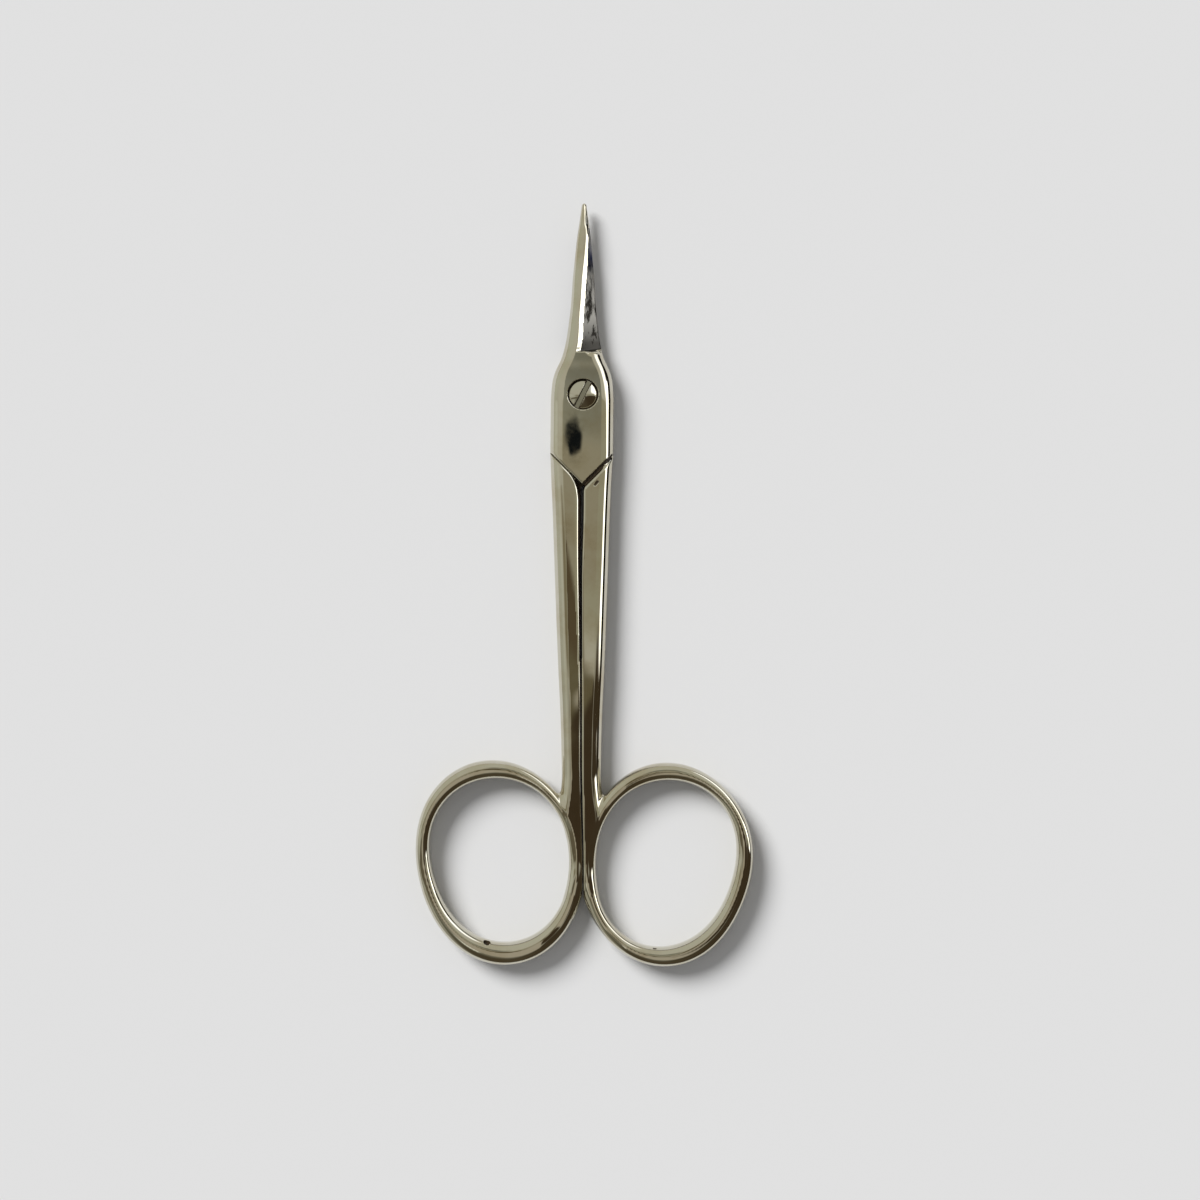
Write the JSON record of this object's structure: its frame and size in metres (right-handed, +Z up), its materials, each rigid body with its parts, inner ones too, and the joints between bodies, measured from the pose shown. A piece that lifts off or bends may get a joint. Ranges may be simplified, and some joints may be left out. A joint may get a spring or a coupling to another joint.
{
  "type": "manicure scissors",
  "caption": "Small pointed scissors with straight slender blades, a lap joint with a slotted pivot screw, long tapering shanks and oval finger rings.",
  "frame": {"origin": "middle of the closed scissors' plan box, on the table that they lie on", "axes": "+Y along the blades towards the tip, +Z up from the table along the pivot axis, +X to the right seen from above"},
  "size_m": [0.04, 0.09, 0.0035],
  "materials": {
    "nickel_plate": "polished warm nickel plating on forged steel, with the blade bevels ground bare",
    "screw_steel": "polished screw steel, plated"
  },
  "bodies": {
    "lower": {"lower_half": "nickel_plate", "pivot_screw": "screw_steel"},
    "upper": {"upper_half": "nickel_plate"}
  },
  "joints": [
    {"name": "pivot", "type": "hinge", "parent": "lower", "child": "upper", "pos_m": [-0.00016, 0.02237, 0.0017], "axis": [0, 0, 1], "range_deg": [0, 130]}
  ]
}
